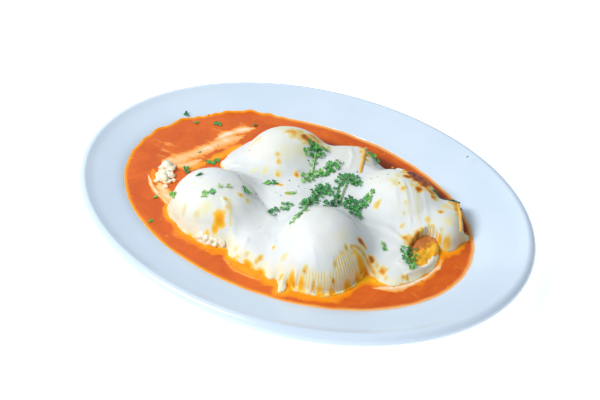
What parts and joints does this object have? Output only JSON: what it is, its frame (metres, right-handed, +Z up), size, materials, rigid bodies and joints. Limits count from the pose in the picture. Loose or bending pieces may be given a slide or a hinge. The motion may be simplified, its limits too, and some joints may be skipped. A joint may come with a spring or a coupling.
{
  "type": "plate of baked stuffed pasta shells",
  "caption": "Baked stuffed pasta shells in tomato sauce under melted cheese with parsley, served in a deep oval plate.",
  "frame": {"origin": "middle of the plate, on the flat foot that it stands on", "axes": "+X along the plate's long side, +Z up"},
  "size_m": [0.31, 0.2264, 0.046],
  "materials": {
    "white_glaze": "smooth white glaze, cool in the light",
    "tomato_sauce": "smooth oily tomato sauce, orange where it is thin",
    "pasta": "cooked ridged pasta, moist",
    "melted_cheese": "melted white cheese, soft sheen, browned in spots",
    "shell_filling": "oily orange filling",
    "ricotta": "crumbly moist curd",
    "parsley": "fresh curled leaf"
  },
  "bodies": {
    "root": {"plate": "white_glaze", "tomato_sauce": "tomato_sauce", "shell_front": "pasta", "shell_left": "pasta", "shell_back": "pasta", "shell_right": "pasta", "shell_middle": "pasta", "shell_end": "pasta", "shell_side": "pasta", "melted_cheese": "melted_cheese", "shell_filling": "shell_filling", "ricotta_left": "ricotta", "ricotta_front": "ricotta", "parsley_back": "parsley", "parsley_stalk": "parsley", "parsley_low": "parsley", "parsley_wing": "parsley", "parsley_curl": "parsley", "parsley_branch": "parsley", "parsley_centre": "parsley", "parsley_heart": "parsley", "parsley_tail": "parsley", "parsley_dark": "parsley", "parsley_right": "parsley", "parsley_small": "parsley", "parsley_mouth": "parsley", "parsley_pair": "parsley", "parsley_leaf": "parsley", "parsley_edge": "parsley"}
  },
  "joints": []
}
